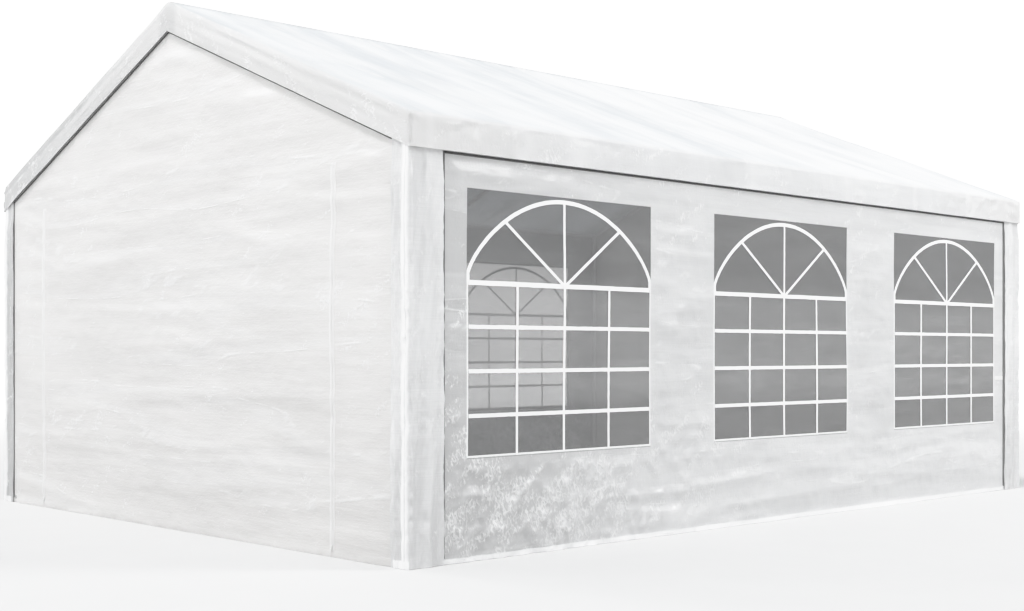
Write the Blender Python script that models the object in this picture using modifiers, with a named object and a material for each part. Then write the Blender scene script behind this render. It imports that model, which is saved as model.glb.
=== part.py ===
"""A marquee tent: white sheeting over a bolted-together frame of round steel tubes.

The ridge runs along X and the door ends face -X and +X. The long window walls face -Y
(front) and +Y (back). The origin is on the ground, under the middle of the tent.
"""

import math

import bmesh
import bpy
from mathutils import Vector

# Outer size of the roof cover
LENGTH = 6.0
WIDTH = 4.0
EAVE_HEIGHT = 2.085
RIDGE_HEIGHT = 2.948
VALANCE_DEPTH = 0.165
ROOF_EDGE_BEVEL = 0.010
COVER_THICKNESS = 0.006

# Wall sheets
SHEET_THICKNESS = 0.005
HEM_HEIGHT = 0.004
WALL_TOP = 2.06
GABLE_DROP = 0.030
WALL_CORNER_INSET = 0.032

# Corner sleeves, which wrap the four corners from the ground to the eaves
SLEEVE_LONG_SIDE = 0.220
SLEEVE_GABLE_SIDE = 0.125
SLEEVE_TOP = 2.04
SLEEVE_RADIUS = 0.025
SLEEVE_ARC_STEPS = 5

# Windows of clear film in the long walls, three to a side
WINDOW_WIDTH = 1.375
WINDOW_SILL = 0.49
WINDOW_HEAD = 1.76
WINDOW_PITCH = 1.94
WINDOWS_PER_SIDE = 3
FILM_THICKNESS = 0.002
FILM_LAP = 0.012

# Roll-up door in each end wall, between two upright zips
DOOR_WIDTH = 2.90
DOOR_HEIGHT = 1.90

# Steel frame
TUBE_RADIUS = 0.019
TUBE_SIDES = 16
FRAMES = 4
STUB_LENGTH = 0.085
STUB_RADIUS = 0.0178
KNUCKLE_RADIUS = TUBE_RADIUS
FOOT_SIZE = 0.100
FOOT_THICKNESS = 0.004
FOOT_CORNER = 0.012
FOOT_SETBACK = 0.003
PEG_HOLE_RADIUS = 0.006
PEG_HOLE_INSET = 0.018

# Play left between pieces that touch
SEAT = 0.0003
ROOF_SEAT = 0.0009

# Derived planes, from the outside in
HALF_LENGTH = LENGTH / 2
HALF_WIDTH = WIDTH / 2
COVER_LAP = COVER_THICKNESS + SEAT
WALL_LAP = COVER_LAP + SHEET_THICKNESS + SEAT
TUBE_LAP = WALL_LAP + SHEET_THICKNESS + SEAT + TUBE_RADIUS
SLOPE = (RIDGE_HEIGHT - EAVE_HEIGHT) / HALF_WIDTH
SLOPE_COS = 1 / math.hypot(1, SLOPE)
POST_X = HALF_LENGTH - TUBE_LAP
POST_Y = HALF_WIDTH - TUBE_LAP
TUBE_DROP = (COVER_THICKNESS + ROOF_SEAT + TUBE_RADIUS) / SLOPE_COS
FRAME_X = [POST_X * (2 * step / (FRAMES - 1) - 1) for step in range(FRAMES)]
WINDOW_X = [WINDOW_PITCH * (step - 1) for step in range(WINDOWS_PER_SIDE)]
SIDES = {"front": -1, "back": 1}
ENDS = {"left": -1, "right": 1}


def outer_height(y):
    """Height of the roof cover's outer plane at a distance from the ridge line."""
    return RIDGE_HEIGHT - SLOPE * abs(y)


def tube_height(y):
    """Height of the axis of a tube that carries the roof cover there."""
    return outer_height(y) - TUBE_DROP


EAVE_TUBE_HEIGHT = tube_height(POST_Y)
RIDGE_TUBE_HEIGHT = tube_height(0)


def clear_scene():
    for obj in list(bpy.data.objects):
        bpy.data.objects.remove(obj, do_unlink=True)


def make_collection(name):
    collection = bpy.data.collections.new(name)
    bpy.context.scene.collection.children.link(collection)
    return collection


def make_material(name, color, roughness, metallic=0.0, alpha=1.0):
    material = bpy.data.materials.new(name)
    material.use_nodes = True
    shader = material.node_tree.nodes["Principled BSDF"]
    shader.inputs["Base Color"].default_value = (*color, 1.0)
    shader.inputs["Roughness"].default_value = roughness
    shader.inputs["Metallic"].default_value = metallic
    shader.inputs["Alpha"].default_value = alpha
    return material


clear_scene()
TENT = make_collection("marquee_tent")
CUTTERS = make_collection("cutters")
CUTTERS.hide_render = True


def finish(obj, base_material, tint=1.0):
    """Gives the object a material of its own, from one of the base finishes."""
    material = base_material.copy()
    material.name = obj.name
    shader = material.node_tree.nodes["Principled BSDF"]
    color = shader.inputs["Base Color"].default_value
    shader.inputs["Base Color"].default_value = [channel * tint for channel in color[:3]] + [1.0]
    obj.data.materials.append(material)
    return obj


def add_object(name, data, collection=TENT):
    obj = bpy.data.objects.new(name, data)
    collection.objects.link(obj)
    if collection is CUTTERS:
        obj.hide_render = True
        obj.display_type = "WIRE"
    return obj


def mesh_from(bm, name):
    mesh = bpy.data.meshes.new(name)
    bm.to_mesh(mesh)
    bm.free()
    return mesh


def box(name, size, center, collection=TENT):
    """A plain slab, placed by its middle."""
    bm = bmesh.new()
    bmesh.ops.create_cube(bm, size=1.0)
    bmesh.ops.scale(bm, vec=size, verts=bm.verts)
    obj = add_object(name, mesh_from(bm, name), collection)
    obj.location = center
    return obj


def tube(name, start, end, radius=TUBE_RADIUS, collection=TENT):
    """A round bar from one point to another, shaded smooth round its side."""
    start = Vector(start)
    run = Vector(end) - start
    bm = bmesh.new()
    bmesh.ops.create_cone(
        bm,
        cap_ends=True,
        segments=TUBE_SIDES,
        radius1=radius,
        radius2=radius,
        depth=run.length,
    )
    mesh = mesh_from(bm, name)
    mesh.shade_smooth()
    mesh.set_sharp_from_angle(angle=math.radians(40))
    obj = add_object(name, mesh, collection)
    obj.location = start + run / 2
    obj.rotation_euler = run.to_track_quat("Z", "Y").to_euler()
    return obj


def sheet(name, outlines, thickness, location, rotation):
    """A flat sheet from a filled 2D curve. Outlines after the first are holes in it."""
    curve = bpy.data.curves.new(name, "CURVE")
    curve.dimensions = "2D"
    curve.fill_mode = "BOTH"
    curve.extrude = thickness / 2
    for outline in outlines:
        spline = curve.splines.new("POLY")
        spline.points.add(len(outline) - 1)
        for point, (across, up) in zip(spline.points, outline):
            point.co = (across, up, 0.0, 1.0)
        spline.use_cyclic_u = True
    obj = add_object(name, curve)
    obj.location = location
    obj.rotation_euler = rotation
    return obj


def combine(obj, other, operation):
    modifier = obj.modifiers.new(operation.lower(), "BOOLEAN")
    modifier.operation = operation
    modifier.solver = "EXACT"
    modifier.object = other


def rectangle(left, right, bottom, top):
    return [(left, bottom), (right, bottom), (right, top), (left, top)]


# Finishes
WHITE_SHEET = make_material("white_sheet", (0.82, 0.83, 0.84), 0.42)
CLEAR_FILM = make_material("clear_film", (0.62, 0.64, 0.65), 0.12, alpha=0.35)
WHITE_STEEL = make_material("white_steel", (0.72, 0.73, 0.74), 0.35, metallic=0.3)


def build_roof_cover():
    """One sheet over both slopes, with a valance hanging at the sides and a band at the ends."""
    bm = bmesh.new()
    bmesh.ops.create_cube(bm, size=1.0)
    bmesh.ops.scale(bm, vec=(LENGTH, WIDTH, VALANCE_DEPTH), verts=bm.verts)
    bmesh.ops.translate(bm, vec=(0, 0, EAVE_HEIGHT - VALANCE_DEPTH / 2), verts=bm.verts)
    bmesh.ops.bisect_plane(
        bm,
        geom=bm.verts[:] + bm.edges[:] + bm.faces[:],
        plane_co=(0, 0, 0),
        plane_no=(0, 1, 0),
    )
    ridge = [vert for vert in bm.verts if abs(vert.co.y) < SEAT]
    bmesh.ops.translate(bm, vec=(0, 0, RIDGE_HEIGHT - EAVE_HEIGHT), verts=ridge)
    bm.normal_update()
    under = [face for face in bm.faces if face.normal.z < -0.5]
    bmesh.ops.delete(bm, geom=under, context="FACES")
    folds = [
        edge
        for edge in bm.edges
        if not edge.is_boundary and edge.calc_face_angle() > math.radians(10)
    ]
    bmesh.ops.bevel(
        bm,
        geom=folds,
        offset=ROOF_EDGE_BEVEL,
        affect="EDGES",
        segments=3,
        profile=0.5,
        material=-1,
    )
    obj = add_object("roof_cover", mesh_from(bm, "roof_cover"))
    shell = obj.modifiers.new("shell", "SOLIDIFY")
    shell.thickness = COVER_THICKNESS
    shell.offset = -1
    shell.use_even_offset = True
    return finish(obj, WHITE_SHEET)


def build_side_wall(side, sign):
    """A long wall with its three window openings, and the clear film behind each."""
    end = HALF_LENGTH - WALL_CORNER_INSET
    outlines = [rectangle(-end, end, HEM_HEIGHT, WALL_TOP)]
    for middle in WINDOW_X:
        left = middle - WINDOW_WIDTH / 2
        outlines.append(rectangle(left, left + WINDOW_WIDTH, WINDOW_SILL, WINDOW_HEAD))
    wall_y = sign * (HALF_WIDTH - WALL_LAP - SHEET_THICKNESS / 2)
    upright = (math.pi / 2, 0, 0)
    wall = sheet(f"side_wall_{side}", outlines, SHEET_THICKNESS, (0, wall_y, 0), upright)
    finish(wall, WHITE_SHEET, 0.94)
    film_y = sign * (HALF_WIDTH - WALL_LAP - SHEET_THICKNESS - SEAT - FILM_THICKNESS / 2)
    film_size = (
        WINDOW_WIDTH + 2 * FILM_LAP,
        FILM_THICKNESS,
        WINDOW_HEAD - WINDOW_SILL + 2 * FILM_LAP,
    )
    for number, middle in enumerate(WINDOW_X, 1):
        center = (middle, film_y, (WINDOW_SILL + WINDOW_HEAD) / 2)
        finish(box(f"window_{side}_{number}", film_size, center), CLEAR_FILM)


def build_end_wall(end, sign):
    """A gable wall cut away for its door, and the roll-up door zipped into the opening."""
    edge = HALF_WIDTH - WALL_CORNER_INSET
    door_edge = DOOR_WIDTH / 2
    outline = [
        (-edge, HEM_HEIGHT),
        (-door_edge, HEM_HEIGHT),
        (-door_edge, DOOR_HEIGHT),
        (door_edge, DOOR_HEIGHT),
        (door_edge, HEM_HEIGHT),
        (edge, HEM_HEIGHT),
        (edge, outer_height(edge) - GABLE_DROP),
        (0, outer_height(0) - GABLE_DROP),
        (-edge, outer_height(edge) - GABLE_DROP),
    ]
    wall_x = sign * (HALF_LENGTH - WALL_LAP - SHEET_THICKNESS / 2)
    upright = (math.pi / 2, 0, math.pi / 2)
    wall = sheet(f"end_wall_{end}", [outline], SHEET_THICKNESS, (wall_x, 0, 0), upright)
    finish(wall, WHITE_SHEET, 0.97)
    flap_height = DOOR_HEIGHT - HEM_HEIGHT - SEAT
    flap_size = (SHEET_THICKNESS, DOOR_WIDTH - 2 * SEAT, flap_height)
    flap = box(f"door_flap_{end}", flap_size, (wall_x, 0, HEM_HEIGHT + flap_height / 2))
    finish(flap, WHITE_SHEET, 0.99)


def arc_points(center, radius, start_deg, end_deg, steps):
    points = []
    for step in range(steps + 1):
        angle = math.radians(start_deg + (end_deg - start_deg) * step / steps)
        offset = (radius * math.cos(angle), radius * math.sin(angle))
        points.append((center[0] + offset[0], center[1] + offset[1]))
    return points


def build_corner_sleeve(side, side_sign, end, end_sign):
    """An upright strip bent round the corner post, under the edge of the roof cover."""
    face_x = HALF_LENGTH - COVER_LAP
    face_y = HALF_WIDTH - COVER_LAP
    bend = (face_x - SLEEVE_RADIUS, face_y - SLEEVE_RADIUS)
    inner_radius = SLEEVE_RADIUS - SHEET_THICKNESS
    long_end = HALF_LENGTH - SLEEVE_LONG_SIDE
    gable_end = HALF_WIDTH - SLEEVE_GABLE_SIDE
    outline = [(long_end, face_y - SHEET_THICKNESS), (long_end, face_y)]
    outline += arc_points(bend, SLEEVE_RADIUS, 90, 0, SLEEVE_ARC_STEPS)
    outline += [(face_x, gable_end), (face_x - SHEET_THICKNESS, gable_end)]
    outline += arc_points(bend, inner_radius, 0, 90, SLEEVE_ARC_STEPS)
    mirrored = [(end_sign * x, side_sign * y) for x, y in outline]
    height = SLEEVE_TOP - HEM_HEIGHT
    middle = (0, 0, HEM_HEIGHT + height / 2)
    sleeve = sheet(f"corner_sleeve_{side}_{end}", [mirrored], height, middle, (0, 0, 0))
    finish(sleeve, WHITE_SHEET, 0.96)


def build_post(side, sign, number, frame_x):
    """A leg with its foot plate, which reaches inwards and has two peg holes."""
    name = f"post_{side}_{number}"
    post_y = sign * POST_Y
    top = EAVE_TUBE_HEIGHT - STUB_LENGTH - SEAT
    post = tube(name, (frame_x, post_y, FOOT_THICKNESS / 2), (frame_x, post_y, top))
    reach = FOOT_SIZE / 2 - TUBE_RADIUS + FOOT_SETBACK
    at_corner = abs(frame_x) > POST_X - SEAT
    inwards_x = -math.copysign(reach, frame_x) if at_corner else 0.0
    foot_x = frame_x + inwards_x
    foot_y = post_y - sign * reach
    plate_size = (FOOT_SIZE, FOOT_SIZE, FOOT_THICKNESS)
    plate = box(f"{name}_plate", plate_size, (foot_x, foot_y, FOOT_THICKNESS / 2), CUTTERS)
    rounding = plate.modifiers.new("corners", "BEVEL")
    rounding.width = FOOT_CORNER
    rounding.segments = 3
    rounding.limit_method = "WEIGHT"
    weights = plate.data.attributes.new("bevel_weight_edge", "FLOAT", "EDGE")
    for edge in plate.data.edges:
        low, high = (plate.data.vertices[index].co for index in edge.vertices)
        upright = abs(low.z - high.z) > FOOT_THICKNESS / 2
        weights.data[edge.index].value = 1.0 if upright else 0.0
    combine(post, plate, "UNION")
    hole_reach = FOOT_SIZE / 2 - PEG_HOLE_INSET
    for label, across in (("a", -1), ("b", 1)):
        hole_x = foot_x + across * hole_reach
        hole_y = foot_y - sign * hole_reach
        hole = tube(
            f"{name}_peg_hole_{label}",
            (hole_x, hole_y, -FOOT_THICKNESS),
            (hole_x, hole_y, 2 * FOOT_THICKNESS),
            PEG_HOLE_RADIUS,
            CUTTERS,
        )
        combine(post, hole, "DIFFERENCE")
    finish(post, WHITE_STEEL)


def build_connector(name, center, runs):
    """A fitting of short stubs that meet in a round knuckle. Each run is a stub's two ends."""
    bm = bmesh.new()
    bmesh.ops.create_uvsphere(
        bm, u_segments=TUBE_SIDES, v_segments=TUBE_SIDES // 2, radius=KNUCKLE_RADIUS
    )
    mesh = mesh_from(bm, name)
    mesh.shade_smooth()
    knuckle = add_object(name, mesh)
    center = Vector(center)
    knuckle.location = center
    for number, (start, end) in enumerate(runs, 1):
        ends = (center + Vector(start), center + Vector(end))
        stub = tube(f"{name}_stub_{number}", *ends, STUB_RADIUS, CUTTERS)
        combine(knuckle, stub, "UNION")
    return finish(knuckle, WHITE_STEEL, 0.9)


def along_ridge(number):
    """The stub that takes the level tubes to the neighbouring frames, one way or both."""
    back = -STUB_LENGTH if number > 1 else 0.0
    forth = STUB_LENGTH if number < FRAMES else 0.0
    return ((back, 0, 0), (forth, 0, 0))


def between(name, start, end):
    """A tube that joins the stubs of two connectors."""
    start = Vector(start)
    end = Vector(end)
    margin = (STUB_LENGTH + SEAT) * (end - start).normalized()
    return finish(tube(name, start + margin, end - margin), WHITE_STEEL)


def build_frames():
    middle = (0, 0, 0)
    for number, frame_x in enumerate(FRAME_X, 1):
        ridge_point = Vector((frame_x, 0, RIDGE_TUBE_HEIGHT))
        ridge_runs = [along_ridge(number)]
        for side, sign in SIDES.items():
            eave_point = Vector((frame_x, sign * POST_Y, EAVE_TUBE_HEIGHT))
            up_slope = STUB_LENGTH * (ridge_point - eave_point).normalized()
            eave_runs = [along_ridge(number), (middle, (0, 0, -STUB_LENGTH)), (middle, up_slope)]
            build_post(side, sign, number, frame_x)
            build_connector(f"eave_joint_{side}_{number}", eave_point, eave_runs)
            between(f"rafter_{side}_{number}", eave_point, ridge_point)
            ridge_runs.append((middle, -up_slope))
        build_connector(f"ridge_joint_{number}", ridge_point, ridge_runs)


def build_purlins():
    """The level tubes that join the frames along the ridge and both eaves."""
    for number, (near_x, far_x) in enumerate(zip(FRAME_X, FRAME_X[1:]), 1):
        near = (near_x, 0, RIDGE_TUBE_HEIGHT)
        between(f"ridge_tube_{number}", near, (far_x, 0, RIDGE_TUBE_HEIGHT))
        for side, sign in SIDES.items():
            near = (near_x, sign * POST_Y, EAVE_TUBE_HEIGHT)
            far = (far_x, sign * POST_Y, EAVE_TUBE_HEIGHT)
            between(f"eave_tube_{side}_{number}", near, far)


def main():
    build_roof_cover()
    for side, side_sign in SIDES.items():
        build_side_wall(side, side_sign)
        for end, end_sign in ENDS.items():
            build_corner_sleeve(side, side_sign, end, end_sign)
    for end, end_sign in ENDS.items():
        build_end_wall(end, end_sign)
    build_frames()
    build_purlins()


main()
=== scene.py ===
# %% [markdown]
# # Dressing a marquee tent
#
# This lesson takes the plain solids of a marquee and gives them their real looks. The tent is
# white polyethylene tarpaulin over a frame of round steel tubes: a roof cover with a valance,
# two long walls with clear arched windows, two gable walls with a zipped roll-up door, and a
# sleeve of the same tarpaulin round each corner post.
#
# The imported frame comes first, because every sheet is cut to the size that the frame gives.

import math

import bmesh
import bpy
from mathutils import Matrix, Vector, noise


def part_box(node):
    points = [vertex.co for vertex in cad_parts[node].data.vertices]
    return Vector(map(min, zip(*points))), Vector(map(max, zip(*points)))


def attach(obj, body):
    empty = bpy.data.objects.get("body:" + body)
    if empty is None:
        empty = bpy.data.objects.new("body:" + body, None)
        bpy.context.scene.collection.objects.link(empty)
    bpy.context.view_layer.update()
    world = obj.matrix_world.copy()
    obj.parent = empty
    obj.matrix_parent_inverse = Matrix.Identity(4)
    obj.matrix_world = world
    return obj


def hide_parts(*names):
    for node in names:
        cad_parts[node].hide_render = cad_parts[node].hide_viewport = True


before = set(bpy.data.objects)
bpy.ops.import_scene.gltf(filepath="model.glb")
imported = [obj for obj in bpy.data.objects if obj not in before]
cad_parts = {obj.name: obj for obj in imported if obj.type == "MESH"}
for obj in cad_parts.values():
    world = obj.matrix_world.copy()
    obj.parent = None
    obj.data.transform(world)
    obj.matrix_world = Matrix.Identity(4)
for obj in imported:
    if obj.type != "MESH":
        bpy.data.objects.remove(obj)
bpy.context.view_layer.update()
print("nodes in the frame:", len(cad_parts))

# %% [markdown]
# The camera stands at eye level off the near corner, level, with its frame shifted up and to
# the right. A level camera keeps the posts upright, as an architect's lens would.

# %% Place the camera
CAMERA_PLACE = (-7.336, -6.75, 0.988)
CAMERA_TURN = -40.5
LENS_LENGTH = 49.96
LENS_SHIFT = (0.1465, 0.0454)

lens = bpy.data.cameras.new("camera")
lens.lens = LENS_LENGTH
lens.shift_x, lens.shift_y = LENS_SHIFT
camera = bpy.data.objects.new("camera", lens)
camera.location = CAMERA_PLACE
camera.rotation_euler = (math.radians(90), 0, math.radians(CAMERA_TURN))
bpy.context.scene.collection.objects.link(camera)
bpy.context.scene.camera = camera
print("camera turned", CAMERA_TURN, "degrees, lens", LENS_LENGTH, "mm")

# %% [markdown]
# A white tent on white is lit softly, but not flat. A pale surround gives each face more than
# half of its brightness. The key stands high and a little to the left. It lights the roof and
# the near gable, and grazes the long wall, which shows the level creases. A softbox far to the
# right grows the light along the front, so the long wall, the valance and the roof are brightest
# at their far end. A second one does the same for the back. Two low suns stand near the mirror
# direction of each wall, so that crinkles in the tarpaulin catch small glints. The plain
# Standard transform keeps white paper white, and a curve before it rolls the highlights off, as
# film does, so that the roof never burns out.

# %% Light the studio
SURROUND_STRENGTH = 0.64
BACKDROP_STRENGTH = 1.7
SUNS = {
    "key": {"towards": (-0.37, -0.10, 0.925), "strength": 2.0, "angle": 12},
    "right_glint": {"towards": (0.70, -0.64, 0.34), "strength": 0.30, "angle": 7},
    "left_glint": {"towards": (-0.58, 0.72, 0.34), "strength": 0.30, "angle": 7},
}
SOFTBOXES = {
    "front_box": {"place": (4.5, -8.0, 8.5), "aim": (1.0, -2.0, 1.2), "power": 380},
    "back_box": {"place": (-4.5, 8.0, 8.5), "aim": (-1.0, 2.0, 1.2), "power": 250},
}
SOFTBOX_SIZE = 3.0


def hang_light(name, kind, energy, towards, place=(0, 0, 0)):
    """Links a light that shines from the direction towards. The camera doesn't see it."""
    light = bpy.data.lights.new(name, kind)
    light.energy = energy
    lamp = bpy.data.objects.new(name, light)
    lamp.rotation_euler = Vector(towards).to_track_quat("Z", "Y").to_euler()
    lamp.location = place
    lamp.visible_camera = False
    bpy.context.scene.collection.objects.link(lamp)
    return light


for sun_name, sun in SUNS.items():
    light = hang_light(sun_name, "SUN", sun["strength"], sun["towards"])
    light.angle = math.radians(sun["angle"])
for box_name, box in SOFTBOXES.items():
    towards = Vector(box["place"]) - Vector(box["aim"])
    light = hang_light(box_name, "AREA", box["power"], towards, box["place"])
    light.size = SOFTBOX_SIZE

world = bpy.data.worlds.new("studio")
world.use_nodes = True
bpy.context.scene.world = world
world_nodes = world.node_tree.nodes
world_links = world.node_tree.links
surround = world_nodes["Background"]
surround.inputs["Color"].default_value = (0.97, 0.985, 1.0, 1.0)
surround.inputs["Strength"].default_value = SURROUND_STRENGTH
backdrop = world_nodes.new("ShaderNodeBackground")
backdrop.inputs["Color"].default_value = (1.0, 1.0, 1.0, 1.0)
backdrop.inputs["Strength"].default_value = BACKDROP_STRENGTH
ray = world_nodes.new("ShaderNodeLightPath")
shown = world_nodes.new("ShaderNodeMixShader")
world_links.new(ray.outputs["Is Camera Ray"], shown.inputs[0])
world_links.new(surround.outputs["Background"], shown.inputs[1])
world_links.new(backdrop.outputs["Background"], shown.inputs[2])
world_links.new(shown.outputs["Shader"], world_nodes["World Output"].inputs["Surface"])
print("lights:", ", ".join([*SUNS, *SOFTBOXES]))

# %% Roll off the highlights
WHITEST = 1.5
ROLL_OFF = ((0.30, 0.30), (0.60, 0.60), (0.85, 0.848), (0.95, 0.912), (1.05, 0.948), (1.25, 0.982))

view = bpy.context.scene.view_settings
view.view_transform = "Standard"
view.use_curve_mapping = True
view.curve_mapping.white_level = (WHITEST, WHITEST, WHITEST)
film_curve = view.curve_mapping.curves[3]
for bright, shown_bright in ROLL_OFF:
    film_curve.points.new(bright / WHITEST, shown_bright)
view.curve_mapping.update()
for bright in (0.3, 0.6, 0.8, 1.0, 1.2):
    shown_bright = view.curve_mapping.evaluate(film_curve, bright / WHITEST)
    print("brightness", bright, "is shown as", round(shown_bright, 3))

# %% [markdown]
# ## Writing a finish as sums
#
# A material is a small drawing program: noise, waves and masks are added and multiplied until
# they look like the surface. Wires between dozens of nodes are hard to read, so one class wraps
# a socket and lets Python's own operators add the Math nodes. Every other node comes from the
# one method `node`.


# %% A socket that can be reckoned with
class Wire:
    """An output socket. An operator on it adds one Math node and gives that node's wire."""

    def __init__(self, finish, socket):
        self.finish = finish
        self.socket = socket

    def reckon(self, operation, first, second=0.0):
        values = {0: first, 1: second}
        return self.finish.node("ShaderNodeMath", {"operation": operation}, values)

    def __add__(self, other):
        return self.reckon("ADD", self, other)

    def __mul__(self, other):
        return self.reckon("MULTIPLY", self, other)

    def __sub__(self, other):
        return self.reckon("SUBTRACT", self, other)

    def __rsub__(self, other):
        return self.reckon("SUBTRACT", other, self)

    __radd__ = __add__
    __rmul__ = __mul__

    def size(self):
        return self.reckon("ABSOLUTE", self)

    def wave(self):
        return self.reckon("SINE", self)


class Finish:
    """A material in the making. Its nodes are added one by one."""

    def __init__(self, name):
        self.material = bpy.data.materials.new(name)
        self.material.use_nodes = True
        self.tree = self.material.node_tree
        self.tree.nodes.clear()

    def node(self, kind, settings=None, values=None, output=0):
        made = self.tree.nodes.new(kind)
        for name, value in (settings or {}).items():
            setattr(made, name, value)
        for key, value in (values or {}).items():
            if isinstance(value, Wire):
                self.tree.links.new(value.socket, made.inputs[key])
            else:
                made.inputs[key].default_value = value
        return Wire(self, made.outputs[output]) if made.outputs else None

    def place(self):
        """Object coordinates, which lie in metres from the middle of the tent."""
        return self.node("ShaderNodeTexCoord", output=3)

    def split(self, source):
        """The three parts of a place."""
        first = self.node("ShaderNodeSeparateXYZ", values={"Vector": source})
        return [Wire(self, output) for output in first.socket.node.outputs]

    def cloud(self, source, scale, detail=3.0, roughness=0.55):
        values = {"Vector": source, "Scale": scale, "Detail": detail, "Roughness": roughness}
        return self.node("ShaderNodeTexNoise", values=values)

    def drift(self, source, scale, detail=3.0, roughness=0.55, lean=0.0):
        """A cloud with its own scale along each axis, whose axes lean by so many degrees."""
        values = {"Vector": source, "Rotation": (0, 0, math.radians(lean))}
        turned = self.node("ShaderNodeMapping", values=values)
        values = {"Vector": turned, "Scale": (*scale, 1)[:3]}
        return self.cloud(self.node("ShaderNodeMapping", values=values), 1.0, detail, roughness)

    def mask(self, value, low, high):
        """0 below low, 1 above high, smooth between."""
        settings = {"interpolation_type": "SMOOTHSTEP"}
        values = {"Value": value, "From Min": low, "From Max": high}
        return self.node("ShaderNodeMapRange", settings, values)

    def fade(self, value, low, high):
        """1 below low, 0 above high, smooth between."""
        return 1.0 - self.mask(value, low, high)

    def contour(self, value, middle, reach):
        """1 where value passes through middle, and 0 from that reach on."""
        return self.fade((value - middle).size(), 0.0, reach)

    def blend(self, mask, first, second):
        """Two colours mixed by a mask."""
        colors = {0: mask, 6: first, 7: second}
        return self.node("ShaderNodeMix", {"data_type": "RGBA"}, colors, output=2)

    def bump(self, height, distance, under=None):
        values = {"Height": height, "Distance": distance}
        if under:
            values["Normal"] = under
        return self.node("ShaderNodeBump", values=values)

    def surface(self, values):
        return self.node("ShaderNodeBsdfPrincipled", values=values)

    def done(self, shader):
        self.node("ShaderNodeOutputMaterial", values={"Surface": shader})
        print("finish", self.material.name, "has", len(self.tree.nodes), "nodes")
        return self.material


def white(level, warmth=0.0):
    """A near-white of that brightness. Warmth above 0 leans to cream, below 0 to blue."""
    return (level * (1 + warmth), level, level * (1 - warmth), 1.0)


print("finishes are written with", Wire.__name__, "and", Finish.__name__)

# %% [markdown]
# ## The tarpaulin
#
# Tarpaulin is a plain weave of flat polyethylene tapes, about 2.5 mm wide, with a thin clear
# coating on both sides. Up close it shows the weave. From a few steps away it shows long faint
# streaks along the warp, and wherever it was crushed in its packing the coating has whitened
# into small crooked lines and flecks, which lie in slanting clumps and glint. Their white is
# partly that whitened coating and partly a painted highlight of the glints. The crooked lines
# are drawn where a noise passes through its middle value. Light also passes through the sheet,
# so a tent is bright inside, and a hem, which lies double, is whiter than the rest.
#
# The streaks, flecks and weave follow the cloth and not the room, so they read the sheet's own
# UV map, which holds the flat cut in metres. How much a place is crushed is an attribute of the
# sheet. A Mix Shader with a Translucent BSDF lets light through. Subsurface scattering would do
# it too, but it needs a thick body and renders slower.

# %% The tarpaulin finish
CUT_MAP = "cut"
CRUSHED = "crushed"
WEAVE_PITCH = 0.005
SEE_THROUGH = 0.22
SEE_THROUGH_TWOFOLD = 0.02
END_SHADE = (-2.95, -0.9)
END_SHADE_LEVEL = 0.655
LIGHTER_FOOT = (0.30, 0.60)
LIGHTER_FOOT_LEVEL = 0.90
SHADE_LEVEL = 0.62
RIDGE_SHADE = (0.060, 0.115)
BAND_STARTS = (2.985, 3.015)
BAND_SHADE_RAMP = (-0.3, 2.0)
SEAM_FROM_BEND = 0.017
SEAM_LEVEL = 0.60
THREAD_SCALE = (4, 160)
CLUMP_SCALE = (4.5, 11.0)
CLUMP_LEAN = -32
LINE_SCALE = (38, 17)
LINE_LEAN = -15
FLECK_AND_HIGHLIGHT_LEVEL = 0.96
TWOFOLD_AND_HIGHLIGHT_LEVEL = 0.93


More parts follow.
